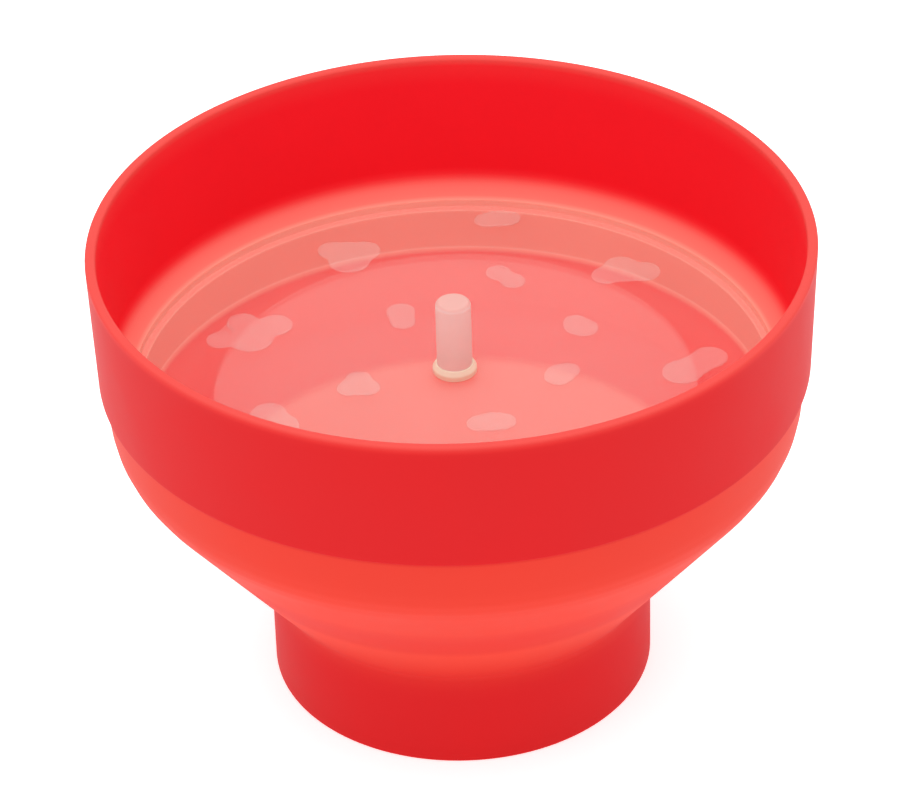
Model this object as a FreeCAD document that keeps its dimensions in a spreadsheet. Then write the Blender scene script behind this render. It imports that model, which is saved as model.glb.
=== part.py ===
"""Collapsible popcorn maker: a silicone bowl that folds flat, with a clear lid that drops inside its rim.

Frame: millimetres, +Z up, origin at the middle of the underside of the base.
The bowl is one moulding. It is split here where its wall changes thickness or starts to fold.
"""

import FreeCAD, Part
import Sketcher

import os
import re

# ---------------------------------------------------------------- driving dimensions

DIMENSIONS = {
    # rim band: the tall upright wall round the top
    "rim_radius": 100.0,
    "rim_height": 140.0,
    "rim_wall": 3.0,
    "lip_round": 1.0,
    "band_foot_radius": 98.9,
    "band_foot_height": 102.0,
    # seat band: set in below the rim band, with the ledge for the lid
    "seat_top_radius": 97.8,
    "corner_radius": 94.0,
    "corner_height": 82.0,
    "corner_round": 2.0,
    "seat_foot_round": 1.8,
    "corner_inner_radius": 88.9,
    "recess_radius": 90.5,
    "recess_height": 97.0,
    "ledge_radius": 88.0,
    "ledge_height": 93.7,
    # folds: two thin sloping webs with a thicker ring between them
    "ring_radius": 81.4,
    "ring_height": 66.0,
    "ring_depth": 3.0,
    "ring_wall": 3.6,
    "web_slope": 0.75,
    "web_wall": 2.6,
    "crease_radius": 68.8,
    "crease_height": 48.5,
    "crease_wall_height": 4.3,
    # base cup
    "base_radius": 54.5,
    "base_height": 30.0,
    "base_wall": 3.2,
    "base_floor": 3.5,
    "base_round": 1.0,
    "floor_round": 3.0,
    # lid, with the peg that lifts it
    "lid_radius": 89.7,
    "lid_underside": 94.0,
    "lid_thickness": 2.0,
    "lid_round": 0.6,
    "peg_radius": 4.95,
    "peg_length": 23.0,
    "peg_round": 1.2,
    "collar_radius": 6.2,
    "collar_height": 3.0,
    "collar_round": 0.9,
    "pop_thickness": 0.5,
}

# ---------------------------------------------------------------- popcorn shapes on the lid

# Each stencil is a popped kernel seen from above: its lobes are discs (x, y, radius), in mm.
STENCILS = {
    "blossom": [(-8.0, -3.5, 4.2), (-2.0, 5.2, 4.6), (7.2, 3.2, 5.2), (0.6, -3.4, 6.4)],
    "cloud": [(-4.8, 2.8, 4.4), (4.4, 2.0, 5.0), (0.2, -3.2, 6.2), (-0.6, 2.6, 4.4)],
    "trefoil": [(-5.4, -2.2, 4.6), (-1.2, 2.4, 5.0), (5.2, -0.8, 5.0), (0.2, -1.0, 4.8)],
    "twin": [(-3.8, -3.2, 5.8), (4.2, 3.6, 5.2), (0.4, 0.2, 4.8)],
    "bean": [(-3.2, -0.4, 3.7), (0.3, 0.3, 4.4), (3.2, 0.3, 3.9)],
    "bud": [(-1.9, 2.2, 3.8), (2.2, -2.4, 3.8)],
    "drop": [(-0.1, 2.4, 4.3), (0.4, -2.5, 3.8)],
    "dome": [(0.0, 2.6, 3.9), (-2.4, -1.6, 3.8), (2.4, -1.6, 3.8)],
    "pebble": [(-1.0, 1.8, 3.6), (1.4, -1.4, 4.2), (-0.4, -0.6, 4.0)],
}

# Where each shape lies: stencil, distance from the peg in mm, bearing and turn in degrees.
POPS = [
    ("blossom", 62.0, 159.0, 0.0),
    ("cloud", 68.0, 116.0, 0.0),
    ("bean", 79.5, 80.0, 0.0),
    ("trefoil", 69.5, 44.0, 0.0),
    ("twin", 67.0, -1.0, 0.0),
    ("cloud", 66.0, -41.0, 200.0),
    ("blossom", 66.0, -83.0, 75.0),
    ("trefoil", 68.0, -126.0, 150.0),
    ("cloud", 57.0, -156.0, 60.0),
    ("bud", 49.5, 72.0, 0.0),
    ("drop", 31.5, 118.0, 0.0),
    ("pebble", 41.0, 30.0, 0.0),
    ("dome", 27.5, 192.0, 0.0),
    ("pebble", 30.0, -6.0, -80.0),
    ("bean", 27.5, -70.0, 0.0),
    ("bud", 44.0, -112.0, 30.0),
]

# Heights and radii that follow from the driving dimensions.
LID_TOP = "lid_underside + lid_thickness"
RING_FOOT = ("ring_radius - web_slope * ring_depth / 2", "ring_height - ring_depth / 2")
RING_HEAD = ("ring_radius + web_slope * ring_depth / 2", "ring_height + ring_depth / 2")
BASE_INNER_RADIUS = "base_radius - base_wall"
BAND_INNER_RADIUS = "band_foot_radius - rim_wall"
RIM_INNER_RADIUS = "rim_radius - rim_wall"
ON_AXIS_OR_GROUND = "0"

AXIS_LINE, GROUND_LINE, ORIGIN_POINT = -2, -1, (-1, 1)
LINE_START, LINE_END = 1, 2
FULL_TURN = 360.0
SAME_PLACE = 0.001

doc = FreeCAD.newDocument("popcorn_maker")
dims = doc.addObject("Spreadsheet::Sheet", "dims")
for row, (alias, size) in enumerate(DIMENSIONS.items(), start=1):
    dims.set(f"A{row}", alias)
    dims.set(f"B{row}", str(size))
    dims.setAlias(f"B{row}", alias)
doc.recompute()


# ---------------------------------------------------------------- how each kind of piece is made


def bound(formula):
    """The formula with each dimension's name pointing at its cell in the sheet."""
    return re.sub(r"[a-z_]+", lambda word: "dims." + word.group(), formula)


def size_of(formula):
    """The formula's value in millimetres."""
    return float(dims.evalExpression(formula))


def origin_plane(body, role):
    """One of the body's own origin planes."""
    return next(feature for feature in body.Origin.OriginFeatures if feature.Role == role)


def tie_corner(sketch, line, radius, height):
    """Ties the start of a sketch line to its radius and height, each a formula."""
    for formula, kind, datum in ((radius, "DistanceX", AXIS_LINE), (height, "DistanceY", GROUND_LINE)):
        if formula == ON_AXIS_OR_GROUND:
            sketch.addConstraint(Sketcher.Constraint("PointOnObject", line, LINE_START, datum))
        else:
            distance = Sketcher.Constraint(kind, *ORIGIN_POINT, line, LINE_START, size_of(formula))
            index = sketch.addConstraint(distance)
            sketch.setExpression(f"Constraints[{index}]", bound(formula))


def edges_at(shape, radius, height):
    """Names of the round edges of a turned shape that lie at this radius and height."""
    names = []
    for number, edge in enumerate(shape.Edges, start=1):
        points = [edge.valueAt(edge.FirstParameter), edge.valueAt((edge.FirstParameter + edge.LastParameter) / 2)]
        here = [abs(point.z - height) < SAME_PLACE for point in points]
        here += [abs(abs(complex(point.x, point.y)) - radius) < SAME_PLACE for point in points]
        if all(here):
            names.append(f"Edge{number}")
    return names


def turned(name, outline, rounds=()):
    """A body of revolution about Z.

    The outline is a closed list of corners, each a (radius, height) pair of formulas.
    Each round is the corner's radius and height and the name of the fillet's own dimension.
    """
    body = doc.addObject("PartDesign::Body", name)
    body.Label = name
    sketch = body.newObject("Sketcher::SketchObject", name + "_outline")
    sketch.AttachmentSupport = [(origin_plane(body, "XZ_Plane"), "")]
    sketch.MapMode = "FlatFace"
    corners = [FreeCAD.Vector(size_of(radius), size_of(height), 0) for radius, height in outline]
    for here, there in zip(corners, corners[1:] + corners[:1]):
        sketch.addGeometry(Part.LineSegment(here, there), False)
    for line, (radius, height) in enumerate(outline):
        before = (line - 1) % len(outline)
        sketch.addConstraint(Sketcher.Constraint("Coincident", before, LINE_END, line, LINE_START))
        tie_corner(sketch, line, radius, height)
    turn = body.newObject("PartDesign::Revolution", name + "_turned")
    turn.Profile = sketch
    turn.ReferenceAxis = (sketch, ["V_Axis"])
    turn.Angle = FULL_TURN
    doc.recompute()
    shaped = turn
    for number, (radius, height, fillet_size) in enumerate(rounds, start=1):
        edges = edges_at(shaped.Shape, size_of(radius), size_of(height))
        fillet = body.newObject("PartDesign::Fillet", f"{name}_round_{number}")
        fillet.Base = (shaped, edges)
        fillet.setExpression("Radius", bound(fillet_size))
        doc.recompute()
        shaped = fillet
    body.Placement = FreeCAD.Placement()
    return body


def pop_shape(name, stencil, distance, bearing, turn):
    """One popcorn shape, raised on the lid: its lobes are discs joined into one pad."""
    outward = FreeCAD.Rotation(FreeCAD.Vector(0, 0, 1), bearing)
    centre = outward.multVec(FreeCAD.Vector(distance, 0, 0))
    lobes = []
    for number, (x, y, radius) in enumerate(STENCILS[stencil], start=1):
        lobe = doc.addObject("Part::Cylinder", f"{name}_lobe_{number}")
        lobe.Radius = radius
        lobe.setExpression("Height", "dims.pop_thickness")
        lobe.Placement = FreeCAD.Placement(FreeCAD.Vector(x, y, 0), FreeCAD.Rotation())
        lobes.append(lobe)
    pad = doc.addObject("Part::MultiFuse", name)
    pad.Shapes = lobes
    pad.Refine = True
    pad.Label = name
    pad.Placement = FreeCAD.Placement(centre, FreeCAD.Rotation(FreeCAD.Vector(0, 0, 1), turn))
    pad.setExpression("Placement.Base.z", bound(LID_TOP))
    return pad


# ---------------------------------------------------------------- the silicone bowl


def base_cup():
    """The upright cup that the bowl stands on."""
    outline = [
        ("0", "0"),
        ("base_radius", "0"),
        ("base_radius", "base_height"),
        (BASE_INNER_RADIUS, "base_height"),
        (BASE_INNER_RADIUS, "base_floor"),
        ("0", "base_floor"),
    ]
    rounds = [
        ("base_radius", "0", "base_round"),
        (BASE_INNER_RADIUS, "base_floor", "floor_round"),
    ]
    return turned("base_cup", outline, rounds)


def lower_fold():
    """The web from the base cup up to the fold ring, with a crease half way."""
    foot_radius, foot_height = RING_FOOT
    outline = [
        ("base_radius", "base_height"),
        ("crease_radius", "crease_height"),
        (foot_radius, foot_height),
        (foot_radius + " - web_wall", foot_height),
        ("crease_radius", "crease_height + crease_wall_height"),
        (BASE_INNER_RADIUS, "base_height"),
    ]
    return turned("lower_fold", outline)


def fold_ring():
    """The thicker ring that stays round while the webs on each side of it fold."""
    foot_radius, foot_height = RING_FOOT
    head_radius, head_height = RING_HEAD
    outline = [
        (foot_radius, foot_height),
        (head_radius, head_height),
        (head_radius + " - ring_wall", head_height),
        (foot_radius + " - ring_wall", foot_height),
    ]
    return turned("fold_ring", outline)


def upper_fold():
    """The web from the fold ring up to the corner of the seat band."""
    head_radius, head_height = RING_HEAD
    outline = [
        (head_radius, head_height),
        ("corner_radius - corner_round", "corner_height"),
        ("corner_inner_radius", "corner_height"),
        (head_radius + " - ring_wall", head_height),
    ]
    return turned("upper_fold", outline)


def seat_band():
    """The band below the rim band, with the recess and ledge that take the lid."""
    outline = [
        ("corner_radius", "corner_height"),
        ("seat_top_radius", "band_foot_height"),
        (BAND_INNER_RADIUS, "band_foot_height"),
        ("recess_radius", "recess_height"),
        ("recess_radius", "ledge_height"),
        ("ledge_radius", "ledge_height"),
        ("corner_inner_radius", "corner_height"),
    ]
    rounds = [("corner_radius", "corner_height", "seat_foot_round")]
    return turned("seat_band", outline, rounds)


def rim_band():
    """The tall wall round the top, with its rounded lip."""
    outline = [
        ("band_foot_radius", "band_foot_height"),
        ("rim_radius", "rim_height"),
        (RIM_INNER_RADIUS, "rim_height"),
        (BAND_INNER_RADIUS, "band_foot_height"),
    ]
    rounds = [
        ("rim_radius", "rim_height", "lip_round"),
        (RIM_INNER_RADIUS, "rim_height", "lip_round"),
    ]
    return turned("rim_band", outline, rounds)


# ---------------------------------------------------------------- the lid


def lid_plate():
    """The flat clear disc that rests on the ledge."""
    outline = [
        ("0", "lid_underside"),
        ("lid_radius", "lid_underside"),
        ("lid_radius", LID_TOP),
        ("0", LID_TOP),
    ]
    rounds = [
        ("lid_radius", LID_TOP, "lid_round"),
        ("lid_radius", "lid_underside", "lid_round"),
    ]
    return turned("lid_plate", outline, rounds)


def lid_peg():
    """The upright peg in the middle of the lid, for lifting it."""
    outline = [
        ("0", LID_TOP),
        ("peg_radius", LID_TOP),
        ("peg_radius", LID_TOP + " + peg_length"),
        ("0", LID_TOP + " + peg_length"),
    ]
    return turned("lid_peg", outline, [("peg_radius", LID_TOP + " + peg_length", "peg_round")])


def peg_collar():
    """The wider foot round the bottom of the peg."""
    outline = [
        ("peg_radius", LID_TOP),
        ("collar_radius", LID_TOP),
        ("collar_radius", LID_TOP + " + collar_height"),
        ("peg_radius", LID_TOP + " + collar_height"),
    ]
    return turned("peg_collar", outline, [("collar_radius", LID_TOP + " + collar_height", "collar_round")])


# ---------------------------------------------------------------- build, check and export

parts = [base_cup(), lower_fold(), fold_ring(), upper_fold(), seat_band(), rim_band()]
parts += [lid_plate(), lid_peg(), peg_collar()]
parts += [pop_shape(f"pop_{number:02d}", *place) for number, place in enumerate(POPS, start=1)]
doc.recompute()

for item in doc.Objects:
    if "Invalid" in item.State or "Error" in item.State:
        raise RuntimeError(f"{item.Label} is {item.State}")
for part in parts:
    if part.Shape.isNull() or not part.Shape.isValid() or len(part.Shape.Solids) != 1:
        raise RuntimeError(f"{part.Label} is not one valid solid")

os.makedirs("parts", exist_ok=True)
for part in parts:
    part.Shape.exportStep(f"parts/{part.Label}.step")
    print(f"{part.Label:12s} {part.Shape.Volume / 1000:8.2f} cm3")
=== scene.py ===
"""Builds the folding popcorn maker: a silicone bowl in six stretches of wall, and a clear lid with a peg."""

import math

import bmesh
import bpy
from bpy.props import FloatProperty, FloatVectorProperty, IntProperty, PointerProperty
from mathutils import Matrix, Vector


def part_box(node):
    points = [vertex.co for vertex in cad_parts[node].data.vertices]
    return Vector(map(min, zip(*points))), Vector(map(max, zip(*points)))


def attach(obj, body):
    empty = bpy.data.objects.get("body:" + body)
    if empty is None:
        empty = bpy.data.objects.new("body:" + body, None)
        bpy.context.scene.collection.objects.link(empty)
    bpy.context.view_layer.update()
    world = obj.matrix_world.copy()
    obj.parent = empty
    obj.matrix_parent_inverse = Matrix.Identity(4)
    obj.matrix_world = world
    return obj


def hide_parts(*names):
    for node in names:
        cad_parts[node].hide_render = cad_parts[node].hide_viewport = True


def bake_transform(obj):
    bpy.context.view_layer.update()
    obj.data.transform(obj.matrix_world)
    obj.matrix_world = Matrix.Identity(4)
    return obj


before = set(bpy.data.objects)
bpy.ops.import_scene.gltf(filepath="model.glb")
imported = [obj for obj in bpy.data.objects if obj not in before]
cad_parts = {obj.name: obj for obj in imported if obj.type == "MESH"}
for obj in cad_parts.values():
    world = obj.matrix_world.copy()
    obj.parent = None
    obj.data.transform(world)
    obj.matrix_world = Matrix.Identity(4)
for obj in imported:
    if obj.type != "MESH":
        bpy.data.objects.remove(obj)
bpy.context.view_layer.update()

bl_info = {
    "name": "Popcorn Maker",
    "version": (1, 0, 0),
    "blender": (4, 5, 0),
    "location": "3D View > Sidebar > Popcorn",
    "description": "Builds the bowl, the lid and the stage of a folding popcorn maker round its packed model",
    "category": "Object",
}

MM = 0.001
POPS = sorted(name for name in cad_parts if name.startswith("pop_"))


def levels(node):
    """A CAD node's lowest and highest level and its outer radius, in millimetres."""
    low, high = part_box(node)
    return low.z / MM, high.z / MM, high.x / MM


RIM_FOOT, RIM_TOP, RIM_RADIUS = levels("rim_band")
SEAT_FOOT, _, SEAT_RADIUS = levels("seat_band")
RING_FOOT, RING_TOP, RING_RADIUS = levels("fold_ring")
BASE_FOOT, BASE_TOP, BASE_RADIUS = levels("base_cup")
LID_UNDERSIDE, LID_TOP, LID_RADIUS = levels("lid_plate")
PEG_FOOT, PEG_TOP, PEG_RADIUS = levels("lid_peg")
_, COLLAR_TOP, COLLAR_RADIUS = levels("peg_collar")


# ---------------------------------------------------------------- what a user may change


class BowlSizes(bpy.types.PropertyGroup):
    """Walls and rounds of the silicone bowl."""

    turns: IntProperty(name="Turns", description="Faces round the bowl", default=240, min=48, max=400)
    step: FloatProperty(
        name="Step", description="Longest face down the wall", default=1.6 * MM, unit="LENGTH"
    )
    rim_wall: FloatProperty(
        name="Rim wall", description="Wall of the straight top band", default=2.9 * MM, unit="LENGTH"
    )
    lip_round: FloatProperty(
        name="Lip round", description="Round of the top edge", default=1.0 * MM, unit="LENGTH"
    )
    corner_round: FloatProperty(
        name="Corner round", description="Round where the seat turns into the web", default=20 * MM,
        unit="LENGTH",
    )
    neck_round: FloatProperty(
        name="Neck round", description="Hollow round where the web meets the base", default=5 * MM,
        unit="LENGTH",
    )
    base_round: FloatProperty(
        name="Base round", description="Round of the edge that the bowl stands on", default=0.8 * MM,
        unit="LENGTH",
    )


class LidSizes(bpy.types.PropertyGroup):
    """Rounds of the lid and its peg."""

    turns: IntProperty(name="Turns", description="Faces round the lid", default=192, min=48, max=400)
    edge_round: FloatProperty(
        name="Edge round", description="Round of the lid's edge", default=0.35 * MM, unit="LENGTH"
    )
    peg_round: FloatProperty(
        name="Peg round", description="Round of the peg's top", default=1.2 * MM, unit="LENGTH"
    )
    pop_bevel: FloatProperty(
        name="Pop bevel", description="Bevel round a raised popcorn shape", default=0.38 * MM, unit="LENGTH"
    )


class Finishes(bpy.types.PropertyGroup):
    """Colours of the silicone and the plastics, painted light and shade among them."""

    deep: FloatVectorProperty(
        name="Deep silicone", description="Outside of the thick walls", subtype="COLOR",
        default=(0.57, 0.009, 0.011),
    )
    # Painted light: the inside is a lighter copy of the same silicone, painted for the light it gets from all
    # round.
    lit_inside: FloatVectorProperty(
        name="Warm silicone", description="Inside of the thick walls, lit from all round", subtype="COLOR",
        default=(0.90, 0.013, 0.025),
    )
    # Painted glow: the outside colour that thin walls are blended towards by the painted light share.
    thin: FloatVectorProperty(
        name="Thin silicone", description="Walls thin enough to let light in", subtype="COLOR",
        default=(0.68, 0.046, 0.024),
    )
    # Painted glow: the inside colour that edges and steps are blended towards by the painted light share.
    inside_glow: FloatVectorProperty(
        name="Pale silicone", description="Edges and steps that glow", subtype="COLOR",
        default=(1.0, 0.46, 0.35),
    )
    clear: FloatVectorProperty(
        name="Clear plastic", description="The lid plate", subtype="COLOR", default=(1.0, 0.88, 0.80)
    )
    frosted: FloatVectorProperty(
        name="Frosted plastic", description="The raised shapes", subtype="COLOR", default=(1.0, 0.90, 0.84)
    )
    milky: FloatVectorProperty(
        name="Milky plastic", description="The peg", subtype="COLOR", default=(0.98, 0.96, 0.90)
    )
    # Painted shade: a darker colour for the peg's top faces under the top light.
    peg_top_shade: FloatVectorProperty(
        name="Peg cap", description="The peg's top, which faces the light", subtype="COLOR",
        default=(0.82, 0.45, 0.40),
    )
    cream: FloatVectorProperty(
        name="Cream plastic", description="The peg's collar", subtype="COLOR", default=(1.0, 0.98, 0.76)
    )


class StageSettings(bpy.types.PropertyGroup):
    """Floor, lights and camera."""

    floor_size: FloatProperty(name="Floor", description="Side of the floor", default=8.0, unit="LENGTH")
    sky: FloatProperty(name="Sky", description="Strength of the even white light", default=1.0, min=0.0)
    lens: FloatProperty(name="Lens", description="Camera lens in millimetres", default=166.9)
    tilt: FloatProperty(
        name="Tilt", description="How far the camera looks down", default=math.radians(34.65), subtype="ANGLE"
    )
    roll: FloatProperty(
        name="Roll", description="How far the camera leans", default=math.radians(-1.78), subtype="ANGLE"
    )


# ---------------------------------------------------------------- outlines, in millimetres


def arc(corner, before, after, radius):
    """Points of the round that a corner gets between the runs to its two neighbours."""
    to_before, to_after = (before - corner), (after - corner)
    half = to_before.angle(to_after) / 2
    reach = min(radius / math.tan(half), to_before.length * 0.49, to_after.length * 0.49)
    radius = reach * math.tan(half)
    to_before.normalize()
    to_after.normalize()
    centre = corner + (to_before + to_after).normalized() * (radius / math.sin(half))
    first, last = corner + to_before * reach - centre, corner + to_after * reach - centre
    sweep = first.angle_signed(last)
    count = max(3, math.ceil(abs(sweep) / math.radians(11)))
    return [centre + Matrix.Rotation(-sweep * k / count, 2) @ first for k in range(count + 1)]


def rounded(corners):
    """A line through (radius, height, round) corners, with an arc at each one that has a round."""
    spots = [Vector(corner[:2]) for corner in corners]
    line = []
    for number, (spot, corner) in enumerate(zip(spots, corners)):
        if corner[2] and 0 < number < len(spots) - 1:
            line += arc(spot, spots[number - 1], spots[number + 1], corner[2])
        else:
            line.append(spot)
    return line


def between(line, top, bottom):
    """The stretch of a falling line from one level down to another, cut exactly at both."""
    kept = []
    for here, there in zip(line, line[1:]):
        drop = here.y - there.y
        for level in (top, bottom):
            if drop > 0 and there.y < level < here.y:
                kept.append(here.lerp(there, (here.y - level) / drop))
        if bottom <= there.y <= top:
            kept.append(there)
    if bottom <= line[0].y <= top:
        kept.insert(0, line[0])
    return sorted(kept, key=lambda spot: -spot.y)


def divided(line, step):
    """The same line with its long runs cut into shorter ones."""
    cut = [line[0]]
    for here, there in zip(line, line[1:]):
        count = max(1, math.ceil((there - here).length / step))
        cut += [here.lerp(there, k / count) for k in range(1, count + 1)]
    return cut


BAND_SET_IN = 1.1
BAND_FOOT_ROUND = 0.45
RING_ROUND = 3.0
CREASE_ROUND = 2.5
JOIN = 0.01
WEB_TURN_RADIUS = 96.0
WEB_TURN_LEVEL = 84.2
CREASE_RADIUS = 68.8
CREASE_LEVEL = 48.5
RING_CREASE_LEVEL = 66.5
SEAT_LEDGE_RADIUS = 88.0
SEAT_LEDGE_LEVEL = 93.7
SEAT_LIP_LEVEL = 96.0
LID_GAP = 0.1
SOFT_LEDGE_TOP = 101.0
SOFT_LEDGE_IN = 1.2
SOFT_LEDGE_ROUND = 6.0
SEAT_LIP_OUT = 0.1
SEAT_LIP_ROUND = 0.3
SEAT_CORNER_ROUND = 0.4
SEAT_LEDGE_FALL = 0.02
SEAT_EDGE_ROUND = 0.6
INNER_ROUND = 1.0
FLOOR_ROUND = 3.0
INNER_CREASE = (69.3, 52.8)
INNER_RING = (79.3, 67.6)
INNER_CORNER = (88.9, 80.4)
BASE_INSIDE_RADIUS = 51.3
BASE_FLOOR = 3.5
BASE_STEP = 4.0
FOOT_GAP = 0.03
SAME_PLACE = 2e-6
PAD_STEP = 0.45
PAD_PASSES = 14
PAD_EDGE_STEPS = 4
PEG_TURNS = 96
PEG_FOOT_ROUND = 0.1
COLLAR_LAND = 0.3
COLLAR_LAND_ROUND = 0.25
COLLAR_FALL = 1.3
COLLAR_ROUND = 0.9
COLLAR_FOOT_ROUND = 0.5
# Painted light and shade on the lid: an off-centre disc of thicker white haze.
PAINTED_LIGHT_DISC_RADIUS = 67.5
PAINTED_LIGHT_DISC_SHIFT = 7.0
PAINTED_LIGHT_DISC_EDGE = 0.8


def outer_line(sizes):
    """Outside of the bowl, from the top of the lip down to the edge that it stands on."""
    return rounded([
        (RIM_RADIUS - sizes.rim_wall / MM / 2, RIM_TOP, 0),
        (RIM_RADIUS, RIM_TOP, sizes.lip_round / MM),
        (RIM_RADIUS - BAND_SET_IN, RIM_FOOT, BAND_FOOT_ROUND),
        (SEAT_RADIUS, RIM_FOOT - JOIN, 0),
        (WEB_TURN_RADIUS, WEB_TURN_LEVEL, sizes.corner_round / MM),
        (RING_RADIUS, RING_CREASE_LEVEL, RING_ROUND),
        (CREASE_RADIUS, CREASE_LEVEL, CREASE_ROUND),
        (BASE_RADIUS, BASE_TOP, sizes.neck_round / MM),
        (BASE_RADIUS, BASE_FOOT, 0),
    ])


def inner_line(sizes):
    """Inside of the bowl, from the top of the lip down to the floor of the base."""
    seat = LID_RADIUS + LID_GAP
    wall = RIM_RADIUS - sizes.rim_wall / MM
    return rounded([
        (RIM_RADIUS - sizes.rim_wall / MM / 2, RIM_TOP, 0),
        (wall, RIM_TOP, sizes.lip_round / MM),
        (wall - SOFT_LEDGE_IN, SOFT_LEDGE_TOP, SOFT_LEDGE_ROUND),
        (seat + SEAT_LIP_OUT, SEAT_LIP_LEVEL, SEAT_LIP_ROUND),
        (seat, SEAT_LEDGE_LEVEL, SEAT_CORNER_ROUND),
        (SEAT_LEDGE_RADIUS, SEAT_LEDGE_LEVEL - SEAT_LEDGE_FALL, SEAT_EDGE_ROUND),
        (*INNER_CORNER, INNER_ROUND),
        (*INNER_RING, RING_ROUND),
        (*INNER_CREASE, INNER_ROUND),
        (BASE_INSIDE_RADIUS, BASE_TOP + FLOOR_ROUND, FLOOR_ROUND),
        (BASE_INSIDE_RADIUS, BASE_FLOOR, 0),
    ])


# Painted light by level, as (level in mm, share from 0 to 1). High shares paint the glow of thin silicone and
# highlights on creases, edges and the lip. Low stretches between them are painted shade.
OUTSIDE_PAINTED_LIGHT = (
    (0, 0), (24, 0), (30, 0.30), (36, 0.62), (44, 0.86), (48.5, 0.97), (52, 0.52), (60, 0.48), (65, 0.66),
    (66.5, 0.80), (68, 0.80), (84, 0.79), (101.8, 0.74), (102, 0), (137, 0), (139.0, 0.12), (139.6, 0.22),
    (140, 0.25),
)
INSIDE_PAINTED_LIGHT = (
    (0, 0.42), (52.4, 0.43), (53.2, 0.05), (61, 0.055), (65, 0.06), (71, 0.125), (76, 0.165), (79.8, 0.135),
    (80.2, 0.95), (82, 0.99), (93.3, 0.99), (93.62, 0.60), (93.75, 0.60), (94.2, 0.97), (96, 1.0),
    (96.2, 0.50), (97.5, 0.43), (99, 0.375), (101.2, 0.04), (103.2, 0), (132, 0), (138, 0.04), (139.2, 0.16),
    (140, 0.25),
)
LIP_DEPTH = 1.2


def painted_light_at(level, painted_levels):
    """How much painted light the silicone gets at a level, from 0 for none to 1: its painted glow, painted
    highlights and painted shade all come from this share.
    """
    for (low, start), (high, end) in zip(painted_levels, painted_levels[1:]):
        if level <= high:
            return start + (end - start) * (level - low) / (high - low)
    return painted_levels[-1][1]


# ---------------------------------------------------------------- node helpers


def add(tree, kind, **settings):
    """A new node with its settings made."""
    node = tree.nodes.new(kind)
    for name, value in settings.items():
        setattr(node, name, value)
    return node


def feed(tree, node, name, source):
    """Puts a value or another node's output into a node's named input."""
    socket = node.inputs[name]
    if isinstance(source, bpy.types.NodeSocket):
        tree.links.new(source, socket)
    else:
        socket.default_value = source


def maths(tree, operation, first, second=0.0):
    """The result of one sum on two values or outputs."""
    node = add(tree, "ShaderNodeMath", operation=operation)
    feed(tree, node, 0, first)
    feed(tree, node, 1, second)
    return node.outputs[0]


# ---------------------------------------------------------------- the lathe


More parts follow.
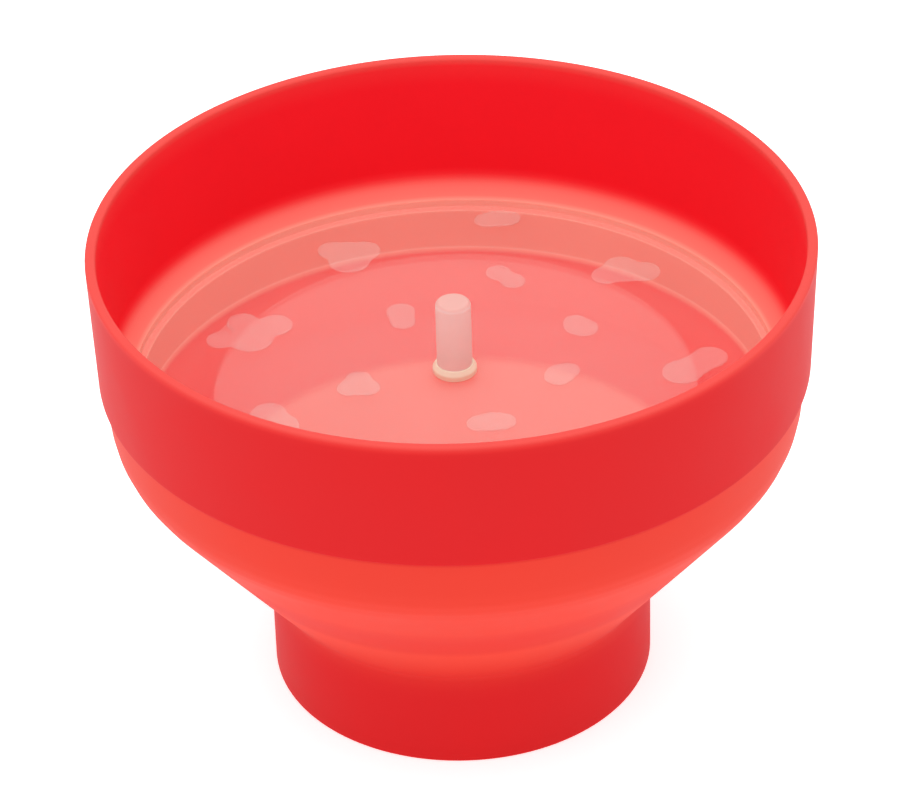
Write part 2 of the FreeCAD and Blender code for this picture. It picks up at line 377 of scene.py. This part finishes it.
def lathe_tree():
    """A node tree that turns an outline, drawn as a mesh line in the XZ plane, about the Z axis."""
    tree = bpy.data.node_groups.get("Lathe")
    if tree:
        return tree
    tree = bpy.data.node_groups.new("Lathe", "GeometryNodeTree")
    face = tree.interface
    face.new_socket("Outline", in_out="INPUT", socket_type="NodeSocketGeometry")
    face.new_socket("Turns", in_out="INPUT", socket_type="NodeSocketInt").default_value = 192
    face.new_socket("Weld", in_out="INPUT", socket_type="NodeSocketFloat").default_value = 0.000002
    face.new_socket("Finish", in_out="INPUT", socket_type="NodeSocketMaterial")
    face.new_socket("Turned", in_out="OUTPUT", socket_type="NodeSocketGeometry")
    inputs = add(tree, "NodeGroupInput").outputs
    outline, turns = inputs["Outline"], inputs["Turns"]

    count = add(tree, "GeometryNodeAttributeDomainSize", component="MESH")
    feed(tree, count, "Geometry", outline)
    columns = maths(tree, "ADD", turns, 1.0)
    grid = add(tree, "GeometryNodeMeshGrid")
    feed(tree, grid, "Vertices X", count.outputs["Point Count"])
    feed(tree, grid, "Vertices Y", columns)

    index = add(tree, "GeometryNodeInputIndex").outputs[0]
    row = maths(tree, "FLOOR", maths(tree, "DIVIDE", maths(tree, "ADD", index, 0.5), columns))
    column = maths(tree, "SUBTRACT", index, maths(tree, "MULTIPLY", row, columns))
    angle = maths(tree, "MULTIPLY", maths(tree, "DIVIDE", column, turns), 2 * math.pi)

    place = add(tree, "GeometryNodeSampleIndex", data_type="FLOAT_VECTOR", domain="POINT")
    feed(tree, place, "Geometry", outline)
    feed(tree, place, "Value", add(tree, "GeometryNodeInputPosition").outputs[0])
    feed(tree, place, "Index", row)
    parts = add(tree, "ShaderNodeSeparateXYZ")
    feed(tree, parts, 0, place.outputs[0])
    spot = add(tree, "ShaderNodeCombineXYZ")
    feed(tree, spot, "X", maths(tree, "MULTIPLY", parts.outputs["X"], maths(tree, "COSINE", angle)))
    feed(tree, spot, "Y", maths(tree, "MULTIPLY", parts.outputs["X"], maths(tree, "SINE", angle)))
    feed(tree, spot, "Z", parts.outputs["Z"])
    moved = add(tree, "GeometryNodeSetPosition")
    feed(tree, moved, "Geometry", grid.outputs["Mesh"])
    feed(tree, moved, "Position", spot.outputs[0])

    # The wall attribute carries the painted light. Its X is the painted glow, highlight and shade share, and
    # its Y picks the outside or the lighter inside copy.
    painted_light_read = add(tree, "GeometryNodeInputNamedAttribute", data_type="FLOAT_VECTOR")
    feed(tree, painted_light_read, "Name", "wall")
    painted_light_row = add(tree, "GeometryNodeSampleIndex", data_type="FLOAT_VECTOR", domain="POINT")
    feed(tree, painted_light_row, "Geometry", outline)
    feed(tree, painted_light_row, "Value", painted_light_read.outputs["Attribute"])
    feed(tree, painted_light_row, "Index", row)
    stored = add(tree, "GeometryNodeStoreNamedAttribute", data_type="FLOAT_VECTOR", domain="POINT")
    feed(tree, stored, "Geometry", moved.outputs["Geometry"])
    feed(tree, stored, "Name", "wall")
    feed(tree, stored, "Value", painted_light_row.outputs[0])

    welded = add(tree, "GeometryNodeMergeByDistance")
    feed(tree, welded, "Geometry", stored.outputs["Geometry"])
    feed(tree, welded, "Distance", inputs["Weld"])
    smooth = add(tree, "GeometryNodeSetShadeSmooth")
    feed(tree, smooth, "Geometry", welded.outputs["Geometry"])
    real = add(tree, "GeometryNodeRealizeInstances")
    feed(tree, real, "Geometry", smooth.outputs["Geometry"])
    painted = add(tree, "GeometryNodeSetMaterial")
    feed(tree, painted, "Geometry", real.outputs["Geometry"])
    feed(tree, painted, "Material", inputs["Finish"])
    feed(tree, add(tree, "NodeGroupOutput"), "Turned", painted.outputs["Geometry"])
    return tree


def turned(name, outline, turns, finish, values=()):
    """A closed solid of revolution from an outline of (radius, level) points in millimetres."""
    mesh = bpy.data.meshes.new(name)
    mesh.from_pydata([(spot.x * MM, 0, spot.y * MM) for spot in outline],
                     [(k, k + 1) for k in range(len(outline) - 1)], [])
    # The values are the painted light, stored as the wall attribute.
    if values:
        mesh.attributes.new("wall", "FLOAT_VECTOR", "POINT").data.foreach_set("vector", values)
    piece = bpy.data.objects.new(name, mesh)
    bpy.context.scene.collection.objects.link(piece)
    lathe = piece.modifiers.new("Lathe", "NODES")
    lathe.node_group = lathe_tree()
    sockets = {item.name: item.identifier for item in lathe.node_group.interface.items_tree}
    lathe[sockets["Turns"]] = turns
    lathe[sockets["Finish"]] = finish
    shape = bpy.data.meshes.new_from_object(piece.evaluated_get(bpy.context.evaluated_depsgraph_get()))
    piece.modifiers.clear()
    piece.data = shape
    bpy.data.meshes.remove(mesh)
    shape.name = name
    tidy_mesh(shape)
    return piece


def tidy_mesh(mesh, crease=math.radians(38)):
    """Welds a mesh, turns its faces outwards and keeps its real edges crisp."""
    shape = bmesh.new()
    shape.from_mesh(mesh)
    bmesh.ops.remove_doubles(shape, verts=shape.verts, dist=1e-7)
    bmesh.ops.recalc_face_normals(shape, faces=shape.faces)
    for face in shape.faces:
        face.smooth = True
    shape.to_mesh(mesh)
    shape.free()
    mesh.set_sharp_from_angle(angle=crease)


def painted_light_values(line, painted_levels, side):
    """For the finish, at each point: the share of painted glow, highlight and shade, and 1 for inside or 0
    for outside, which picks the lighter inside copy painted for light from all round.
    """
    values = []
    for spot in line:
        # Over the top LIP_DEPTH the choice between the outside and the lighter inside copy runs to halfway,
        # so the lip gets half of the inside's painted light.
        lip = max(0.0, spot.y - (RIM_TOP - LIP_DEPTH)) / LIP_DEPTH
        values += [painted_light_at(spot.y, painted_levels), side + (0.5 - side) * lip, 0.0]
    return values


def ringed(name, inside, outside, step, turns, finish):
    """A stretch of wall from its inside and outside lines, which both run downwards."""
    up, down = divided(inside[::-1], step), divided(outside, step)
    values = painted_light_values(up, INSIDE_PAINTED_LIGHT, 1.0) + painted_light_values(down, OUTSIDE_PAINTED_LIGHT, 0.0)
    return turned(name, up + down + up[:1], turns, finish, values + values[:3])


def wall(name, top, bottom):
    """One stretch of the bowl's wall between two levels, as a closed ring."""
    sizes = bpy.context.scene.popcorn_bowl
    inside = between(inner_line(sizes), top, bottom)
    outside = between(outer_line(sizes), top, bottom)
    return ringed(name, inside, outside, sizes.step / MM, sizes.turns, silicone())


def settle(piece, body, nodes):
    """Hides the CAD nodes that a finished piece replaces, and parents it to its body's empty when the body is
    a name; otherwise bakes its transform into the mesh.
    """
    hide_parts(*nodes)
    if isinstance(body, str):
        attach(piece, body)
    else:
        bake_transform(piece)
    return piece


# ---------------------------------------------------------------- finishes


def grain_group():
    """Fine moulded grain and a slow mottle, from Object coordinates."""
    group = bpy.data.node_groups.get("Moulded_Grain")
    if group:
        return group
    group = bpy.data.node_groups.new("Moulded_Grain", "ShaderNodeTree")
    face = group.interface
    face.new_socket("Coordinates", in_out="INPUT", socket_type="NodeSocketVector")
    face.new_socket("Grain Scale", in_out="INPUT", socket_type="NodeSocketFloat").default_value = 900.0
    face.new_socket("Mottle Scale", in_out="INPUT", socket_type="NodeSocketFloat").default_value = 30.0
    face.new_socket("Height", in_out="OUTPUT", socket_type="NodeSocketFloat")
    face.new_socket("Mottle", in_out="OUTPUT", socket_type="NodeSocketFloat")
    inputs = add(group, "NodeGroupInput").outputs
    fine = add(group, "ShaderNodeTexNoise")
    feed(group, fine, "Vector", inputs["Coordinates"])
    feed(group, fine, "Scale", inputs["Grain Scale"])
    feed(group, fine, "Detail", 3.0)
    slow = add(group, "ShaderNodeTexNoise")
    feed(group, slow, "Vector", inputs["Coordinates"])
    feed(group, slow, "Scale", inputs["Mottle Scale"])
    feed(group, slow, "Detail", 4.0)
    feed(group, slow, "Roughness", 0.6)
    outputs = add(group, "NodeGroupOutput")
    feed(group, outputs, "Height", fine.outputs["Fac"])
    feed(group, outputs, "Mottle", slow.outputs["Fac"])
    return group


def spread(tree, value, low, high):
    """A value from 0 to 1 taken to the range from low to high."""
    node = add(tree, "ShaderNodeMapRange")
    feed(tree, node, "Value", value)
    feed(tree, node, "From Min", 0.3)
    feed(tree, node, "From Max", 0.7)
    feed(tree, node, "To Min", low)
    feed(tree, node, "To Max", high)
    return node.outputs[0]


def blended(tree, share, first, second):
    """One colour turning into another."""
    node = add(tree, "ShaderNodeMix", data_type="RGBA")
    feed(tree, node, 0, share)
    feed(tree, node, 6, first)
    feed(tree, node, 7, second)
    return node.outputs[2]


def start_material(name):
    """An empty node material with a Principled shader and the moulded grain."""
    material = bpy.data.materials.new(name)
    material.use_nodes = True
    tree = material.node_tree
    tree.nodes.clear()
    shader = add(tree, "ShaderNodeBsdfPrincipled")
    feed(tree, add(tree, "ShaderNodeOutputMaterial"), "Surface", shader.outputs[0])
    grain = add(tree, "ShaderNodeGroup", node_tree=grain_group())
    feed(tree, grain, "Coordinates", add(tree, "ShaderNodeTexCoord").outputs["Object"])
    return material, tree, shader, grain


def bump(tree, shader, height, strength, distance):
    """A bump from a height, into the shader's normal."""
    node = add(tree, "ShaderNodeBump")
    feed(tree, node, "Strength", strength)
    feed(tree, node, "Distance", distance)
    feed(tree, node, "Height", height)
    feed(tree, shader, "Normal", node.outputs[0])


def silicone():
    """Satin silicone: deep red, blended by the wall values into painted glow, painted highlights and painted
    shade, with a lighter copy painted on the inside.
    """
    if "Red_Silicone" in bpy.data.materials:
        return bpy.data.materials["Red_Silicone"]
    looks = bpy.context.scene.popcorn_finishes
    material, tree, shader, grain = start_material("Red_Silicone")
    # The wall attribute holds the painted light. X is the glow, highlight and shade share, and Y picks the
    # outside or the lighter inside copy.
    painted_light_parts = add(tree, "ShaderNodeSeparateXYZ")
    feed(tree, painted_light_parts, 0, add(tree, "ShaderNodeAttribute", attribute_name="wall").outputs["Vector"])
    # Painted light: the outside runs from deep red to the painted glow of thin walls. The inside runs from
    # the lighter inside copy to the painted glow of edges and steps. Y picks outside or inside.
    outside = blended(tree, painted_light_parts.outputs["X"], (*looks.deep, 1), (*looks.thin, 1))
    inside = blended(tree, painted_light_parts.outputs["X"], (*looks.lit_inside, 1), (*looks.inside_glow, 1))
    tone = add(tree, "ShaderNodeHueSaturation")
    feed(tree, tone, "Color", blended(tree, painted_light_parts.outputs["Y"], outside, inside))
    feed(tree, tone, "Value", spread(tree, grain.outputs["Mottle"], 0.985, 1.015))
    feed(tree, shader, "Base Color", tone.outputs[0])
    feed(tree, shader, "Roughness", spread(tree, grain.outputs["Mottle"], 0.52, 0.60))
    feed(tree, shader, "Specular IOR Level", 0.10)
    bump(tree, shader, grain.outputs["Height"], 0.015, 0.0004)
    return material


def plastic(name, colour, cover, rough, index, wave):
    """Plastic that lets light through, and the nodes to work on it further."""
    material, tree, shader, grain = start_material(name)
    feed(tree, shader, "Base Color", (*colour, 1))
    feed(tree, shader, "Roughness", spread(tree, grain.outputs["Mottle"], rough * 0.8, rough * 1.2))
    feed(tree, shader, "IOR", index)
    feed(tree, shader, "Alpha", spread(tree, grain.outputs["Mottle"], cover * 0.94, cover * 1.06))
    bump(tree, shader, grain.outputs["Mottle"], wave, 0.0005)
    return material, tree, shader


def clear_plastic():
    """The lid plate's plastic, with painted light and shade: whiter over an off-centre disc, so the bowl seen
    through it looks lighter and the crescent round it darker.
    """
    name = "Clear_Plastic"
    if name in bpy.data.materials:
        return bpy.data.materials[name]
    material, tree, shader = plastic(name, bpy.context.scene.popcorn_finishes.clear, 0.1, 0.03, 1.3, 0.0)
    parts = add(tree, "ShaderNodeSeparateXYZ")
    feed(tree, parts, 0, add(tree, "ShaderNodeTexCoord").outputs["Object"])
    across = maths(tree, "POWER", parts.outputs["X"], 2.0)
    along = maths(tree, "POWER", maths(tree, "ADD", parts.outputs["Y"], PAINTED_LIGHT_DISC_SHIFT * MM), 2.0)
    radius = maths(tree, "SQRT", maths(tree, "ADD", across, along))
    # Painted light and shade: alpha is higher inside the off-centre disc than outside it.
    painted_light_disc = add(tree, "ShaderNodeMapRange", interpolation_type="SMOOTHSTEP")
    feed(tree, painted_light_disc, "Value", radius)
    feed(tree, painted_light_disc, "From Min", PAINTED_LIGHT_DISC_RADIUS * MM)
    feed(tree, painted_light_disc, "From Max", (PAINTED_LIGHT_DISC_RADIUS - PAINTED_LIGHT_DISC_EDGE) * MM)
    feed(tree, painted_light_disc, "To Min", 0.055)
    feed(tree, painted_light_disc, "To Max", 0.12)
    feed(tree, shader, "Alpha", painted_light_disc.outputs[0])
    return material


def frosted_plastic():
    """The raised shapes' plastic: a light haze, thicker on the bevelled edges as a painted highlight."""
    name = "Frosted_Plastic"
    if name in bpy.data.materials:
        return bpy.data.materials[name]
    material, tree, shader = plastic(name, bpy.context.scene.popcorn_finishes.frosted, 0.1, 0.4, 1.5, 0.03)
    parts = add(tree, "ShaderNodeSeparateXYZ")
    feed(tree, parts, 0, add(tree, "ShaderNodeNewGeometry").outputs["True Normal"])
    # Painted highlight: steeper faces of the bevel get more alpha, so the edges look lighter.
    edge = add(tree, "ShaderNodeMapRange")
    feed(tree, edge, "Value", maths(tree, "ABSOLUTE", parts.outputs["Z"]))
    feed(tree, edge, "From Min", 0.98)
    feed(tree, edge, "From Max", 0.60)
    feed(tree, edge, "To Min", 0.09)
    feed(tree, edge, "To Max", 0.15)
    feed(tree, shader, "Alpha", edge.outputs[0])
    return material


def milky_plastic(name, colour, top_shade):
    """The peg's and the collar's plastic, with a darker colour painted as shade where it faces up."""
    if name in bpy.data.materials:
        return bpy.data.materials[name]
    material, tree, shader = plastic(name, colour, 0.72, 0.35, 1.45, 0.05)
    parts = add(tree, "ShaderNodeSeparateXYZ")
    feed(tree, parts, 0, add(tree, "ShaderNodeNewGeometry").outputs["Normal"])
    # Painted shade on the faces that look up.
    top_shade_share = add(tree, "ShaderNodeMapRange", interpolation_type="SMOOTHSTEP")
    feed(tree, top_shade_share, "Value", parts.outputs["Z"])
    feed(tree, top_shade_share, "From Min", 0.1)
    feed(tree, top_shade_share, "From Max", 0.9)
    feed(tree, shader, "Base Color", blended(tree, top_shade_share.outputs[0], (*colour, 1), (*top_shade, 1)))
    return material


# ---------------------------------------------------------------- pieces


class POPCORN_OT_base(bpy.types.Operator):
    """Makes the cup that the popcorn maker stands on"""

    bl_idname = "popcorn.base"
    bl_label = "Base Cup"

    def execute(self, context):
        sizes = context.scene.popcorn_bowl
        inside = between(inner_line(sizes), BASE_TOP, BASE_FLOOR)[:-1]
        floor = rounded([
            (inside[-1].x, BASE_TOP / 2, 0), (inside[-1].x, BASE_FLOOR, FLOOR_ROUND), (0, BASE_FLOOR, 0),
        ])
        outside = between(outer_line(sizes), BASE_TOP, BASE_FOOT)[:-1]
        foot = rounded([(BASE_RADIUS, BASE_TOP / 2, 0), (BASE_RADIUS, BASE_FOOT, sizes.base_round / MM),
                        (0, BASE_FOOT, 0)])
        piece = ringed("bowl_base_cup", inside + floor, outside + foot, BASE_STEP, sizes.turns, silicone())
        settle(piece, "base", ["base_cup"])
        return {"FINISHED"}


class POPCORN_OT_webs(bpy.types.Operator):
    """Makes the two thin webs that roll over when the bowl folds"""

    bl_idname = "popcorn.webs"
    bl_label = "Fold Webs"

    def execute(self, context):
        lower = wall("bowl_lower_fold", RING_FOOT, BASE_TOP)
        settle(lower, ("base", "middle", BASE_TOP, RING_FOOT), ["lower_fold"])
        upper = wall("bowl_upper_fold", SEAT_FOOT, RING_TOP)
        settle(upper, ("middle", "bowl_top", RING_TOP, SEAT_FOOT), ["upper_fold"])
        return {"FINISHED"}


class POPCORN_OT_ring(bpy.types.Operator):
    """Makes the ring between the two webs"""

    bl_idname = "popcorn.ring"
    bl_label = "Fold Ring"

    def execute(self, context):
        settle(wall("bowl_fold_ring", RING_TOP, RING_FOOT), "middle", ["fold_ring"])
        return {"FINISHED"}


class POPCORN_OT_bands(bpy.types.Operator):
    """Makes the seat that holds the lid and the straight band above it"""

    bl_idname = "popcorn.bands"
    bl_label = "Seat and Rim"

    def execute(self, context):
        seat = wall("bowl_seat_band", RIM_FOOT - JOIN / 2, SEAT_FOOT)
        settle(seat, "bowl_top", ["seat_band"])
        rim = wall("bowl_rim_band", RIM_TOP, RIM_FOOT - JOIN / 2)
        settle(rim, "bowl_top", ["rim_band"])
        return {"FINISHED"}


class POPCORN_OT_lid(bpy.types.Operator):
    """Makes the clear lid plate"""

    bl_idname = "popcorn.lid"
    bl_label = "Lid Plate"

    def execute(self, context):
        sizes = context.scene.popcorn_lid
        edge = sizes.edge_round / MM
        outline = rounded([
            (0, LID_TOP, 0), (LID_RADIUS, LID_TOP, edge),
            (LID_RADIUS, LID_UNDERSIDE, edge), (0, LID_UNDERSIDE, 0),
        ])
        plate = turned("lid_clear_plate", outline, sizes.turns, clear_plastic())
        settle(plate, "lid", ["lid_plate"])
        return {"FINISHED"}


class POPCORN_OT_peg(bpy.types.Operator):
    """Makes the peg in the middle of the lid and the collar round its foot"""

    bl_idname = "popcorn.peg"
    bl_label = "Peg and Collar"

    def execute(self, context):
        sizes, looks = context.scene.popcorn_lid, context.scene.popcorn_finishes
        foot = PEG_FOOT + FOOT_GAP
        peg = rounded([
            (0, PEG_TOP, 0), (PEG_RADIUS, PEG_TOP, sizes.peg_round / MM),
            (PEG_RADIUS, foot, PEG_FOOT_ROUND), (0, foot, 0),
        ])
        milky = milky_plastic("Milky_Plastic", looks.milky, looks.peg_top_shade)
        settle(turned("lid_peg_post", peg, PEG_TURNS, milky), "lid", ["lid_peg"])
        bore = PEG_RADIUS + FOOT_GAP
        skirt = rounded([
            (bore, foot, 0), (bore, COLLAR_TOP, 0), (bore + COLLAR_LAND, COLLAR_TOP, COLLAR_LAND_ROUND),
            (COLLAR_RADIUS, COLLAR_TOP - COLLAR_FALL, COLLAR_ROUND),
            (COLLAR_RADIUS, foot, COLLAR_FOOT_ROUND), (bore, foot, 0),
        ])
        # The collar's upward faces keep its own cream colour, with no painted shade.
        cream = milky_plastic("Cream_Plastic", looks.cream, looks.cream)
        settle(turned("lid_peg_ring", skirt, PEG_TURNS, cream), "lid", ["peg_collar"])
        return {"FINISHED"}


def outline_of(node):
    """The outline of a raised shape's top face, anticlockwise, as points in metres."""
    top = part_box(node)[1].z
    shape = bmesh.new()
    shape.from_mesh(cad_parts[node].data)
    bmesh.ops.remove_doubles(shape, verts=shape.verts, dist=SAME_PLACE)
    links = {}
    for edge in shape.edges:
        flat = [face for face in edge.link_faces if face.normal.z > 0.9]
        if len(flat) == 1 and all(vert.co.z > top - SAME_PLACE for vert in edge.verts):
            first, second = edge.verts
            links.setdefault(first.index, []).append(second.index)
            links.setdefault(second.index, []).append(first.index)
    loop = [next(iter(links))]
    while True:
        ahead = [index for index in links[loop[-1]] if index not in loop[-2:]]
        if not ahead or ahead[0] == loop[0]:
            break
        loop.append(ahead[0])
    shape.verts.ensure_lookup_table()
    points = [shape.verts[index].co.xy.copy() for index in loop]
    shape.free()
    turn = sum(here.cross(there) for here, there in zip(points, points[1:] + points[:1]))
    return points if turn > 0 else points[::-1]


def softened(points, step, passes):
    """The outline at even steps, with its corners and notches eased."""
    ends = points[1:] + points[:1]
    lengths = [(there - here).length for here, there in zip(points, ends)]
    count = round(sum(lengths) / step)
    even, walked, run = [], 0.0, 0
    for k in range(count):
        target = sum(lengths) * k / count
        while walked + lengths[run] < target:
            walked += lengths[run]
            run += 1
        even.append(points[run].lerp(ends[run], (target - walked) / lengths[run]))
    for _ in range(passes):
        even = [even[k] / 2 + (even[k - 1] + even[(k + 1) % count]) / 4 for k in range(count)]
    return even


def pad(name, node, bevel):
    """A raised popcorn shape: the CAD node's outline, eased, with a rounded top edge."""
    low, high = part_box(node)
    outline = softened(outline_of(node), PAD_STEP * MM, PAD_PASSES)
    count = len(outline)
    outward = []
    for k in range(count):
        along = outline[(k + 1) % count] - outline[k - 1]
        outward.append(Vector((along.y, -along.x)).normalized())
    rings = [(0.0, low.z + FOOT_GAP * MM)]
    for k in range(PAD_EDGE_STEPS + 1):
        angle = math.pi / 2 * k / PAD_EDGE_STEPS
        rings.append((bevel * (1 - math.cos(angle)), high.z - bevel * (1 - math.sin(angle))))
    shape = bmesh.new()
    rows = [[shape.verts.new((*(spot - side * inset), level)) for spot, side in zip(outline, outward)]
            for inset, level in rings]
    for below, above in zip(rows, rows[1:]):
        for k in range(count):
            after = (k + 1) % count
            shape.faces.new((below[k], below[after], above[after], above[k])).smooth = True
    caps = [shape.faces.new(rows[0][::-1]), shape.faces.new(rows[-1])]
    bmesh.ops.triangulate(shape, faces=caps)
    mesh = bpy.data.meshes.new(name)
    shape.to_mesh(mesh)
    shape.free()
    mesh.materials.append(frosted_plastic())
    piece = bpy.data.objects.new(name, mesh)
    bpy.context.scene.collection.objects.link(piece)
    return piece


class POPCORN_OT_pops(bpy.types.Operator):
    """Makes the raised popcorn shapes on the lid"""

    bl_idname = "popcorn.pops"
    bl_label = "Raised Popcorn Shapes"

    def execute(self, context):
        bevel = context.scene.popcorn_lid.pop_bevel
        for node in POPS:
            settle(pad("raised_" + node, node, bevel), "lid", [node])
        return {"FINISHED"}


# ---------------------------------------------------------------- stage


BOWL_MIDDLE = (0, 0, 0.08)
CAMERA_PLACE = (-0.0008, -0.9681, 0.75515)
LIGHTS = (("key", (-0.9, -0.9, 1.3), 1.0, 2), ("top", (0.0, 0.15, 1.5), 0.8, 5.5))


def area_light(name, place, target, size, power):
    """A soft square light that points at a spot."""
    lamp = bpy.data.lights.new(name, "AREA")
    lamp.shape, lamp.size, lamp.energy = "SQUARE", size, power
    thing = bpy.data.objects.new(name, lamp)
    thing.location = place
    thing.rotation_euler = (Vector(target) - Vector(place)).to_track_quat("-Z", "Y").to_euler()
    bpy.context.scene.collection.objects.link(thing)


class POPCORN_OT_stage(bpy.types.Operator):
    """Makes the floor, the light and the camera"""

    bl_idname = "popcorn.stage"
    bl_label = "Stage"

    def execute(self, context):
        scene, stage = context.scene, context.scene.popcorn_stage
        half = stage.floor_size / 2
        mesh = bpy.data.meshes.new("floor")
        corners = [(-half, -half, 0), (half, -half, 0), (half, half, 0), (-half, half, 0)]
        mesh.from_pydata(corners, [], [(0, 1, 2, 3)])
        floor = bpy.data.objects.new("floor", mesh)
        scene.collection.objects.link(floor)
        paint = bpy.data.materials.new("Floor_Paper")
        paint.use_nodes = True
        shader = paint.node_tree.nodes["Principled BSDF"]
        shader.inputs["Base Color"].default_value = (0.96, 0.96, 0.96, 1)
        shader.inputs["Roughness"].default_value = 0.9
        shader.inputs["Specular IOR Level"].default_value = 0.1
        shader.inputs["Emission Color"].default_value = (1, 1, 1, 1)
        shader.inputs["Emission Strength"].default_value = 0.5
        mesh.materials.append(paint)

        world = scene.world or bpy.data.worlds.new("Studio")
        scene.world = world
        world.use_nodes = True
        sky = world.node_tree.nodes["Background"]
        sky.inputs["Color"].default_value = (1, 1, 1, 1)
        sky.inputs["Strength"].default_value = stage.sky
        for name, place, size, power in LIGHTS:
            area_light(name, place, BOWL_MIDDLE, size, power)

        lens = bpy.data.cameras.new("camera")
        lens.lens, lens.sensor_width = stage.lens, 36
        lens.clip_start, lens.clip_end = 0.05, 20
        camera = bpy.data.objects.new("camera", lens)
        turn = Matrix.Rotation(math.pi / 2 - stage.tilt, 4, "X") @ Matrix.Rotation(stage.roll, 4, "Z")
        camera.matrix_world = Matrix.Translation(CAMERA_PLACE) @ turn
        scene.collection.objects.link(camera)
        scene.camera = camera
        scene.view_settings.view_transform = "Standard"
        return {"FINISHED"}


# ---------------------------------------------------------------- panel and main

OPERATORS = (
    POPCORN_OT_base, POPCORN_OT_webs, POPCORN_OT_ring, POPCORN_OT_bands,
    POPCORN_OT_lid, POPCORN_OT_peg, POPCORN_OT_pops, POPCORN_OT_stage,
)


class POPCORN_PT_panel(bpy.types.Panel):
    """Lists the settings and the pieces of the popcorn maker"""

    bl_idname = "POPCORN_PT_panel"
    bl_label = "Popcorn Maker"
    bl_space_type = "VIEW_3D"
    bl_region_type = "UI"
    bl_category = "Popcorn"

    def draw(self, context):
        for group in (getattr(context.scene, name) for name in SETTINGS):
            for key in group.__annotations__:
                self.layout.prop(group, key)
        for piece in OPERATORS:
            self.layout.operator(piece.bl_idname)


SETTINGS = {
    "popcorn_bowl": BowlSizes,
    "popcorn_lid": LidSizes,
    "popcorn_finishes": Finishes,
    "popcorn_stage": StageSettings,
}


def register():
    for kind in (*SETTINGS.values(), *OPERATORS, POPCORN_PT_panel):
        bpy.utils.register_class(kind)
    for name, kind in SETTINGS.items():
        setattr(bpy.types.Scene, name, PointerProperty(type=kind))


def unregister():
    for name in SETTINGS:
        delattr(bpy.types.Scene, name)
    for kind in reversed((*SETTINGS.values(), *OPERATORS, POPCORN_PT_panel)):
        bpy.utils.unregister_class(kind)


def main():
    register()
    for step in OPERATORS:
        area, name = step.bl_idname.split(".")
        getattr(getattr(bpy.ops, area), name)()


if __name__ == "__main__":
    main()
